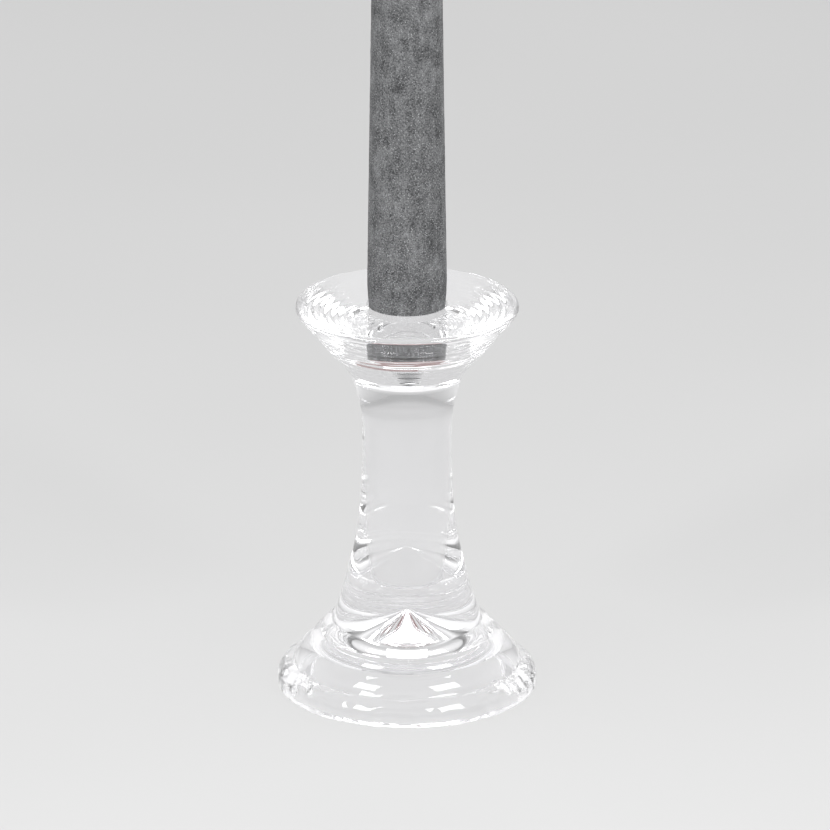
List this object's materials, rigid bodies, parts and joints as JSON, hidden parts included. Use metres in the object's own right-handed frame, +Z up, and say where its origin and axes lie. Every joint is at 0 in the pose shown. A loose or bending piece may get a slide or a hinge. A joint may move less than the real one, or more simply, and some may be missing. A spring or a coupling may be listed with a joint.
{
  "type": "candlestick",
  "caption": "Clear pressed-glass candlestick with a ringed domed foot, waisted stem and flared flat-topped head, holding a taper candle in its socket.",
  "frame": {"origin": "centre of the foot's contact plane on the table", "axes": "+Z up along the axis of the stem and candle; X and Y lie in the table plane and are alike, since every piece is round"},
  "size_m": [0.072, 0.072, 0.3652],
  "materials": {
    "clear_glass": "clear, fire polished, faintly rippled from the mould",
    "fixing_wax": "soft translucent wax, dull",
    "plain_wax": "plain translucent wax",
    "grey_wax": "mottled crystalline wax with fine pale specks, matt",
    "wick_cotton": "braided cotton, waxed"
  },
  "bodies": {
    "holder": {"glass_holder": "clear_glass", "fixing_pad": "fixing_wax"},
    "candle": {"candle_core": "plain_wax", "candle_coat": "grey_wax", "candle_wick": "wick_cotton"}
  },
  "joints": [
    {"name": "candle_lift", "type": "slide", "parent": "holder", "child": "candle", "axis": [0, 0, 1], "range_m": [0, 0.04]}
  ]
}
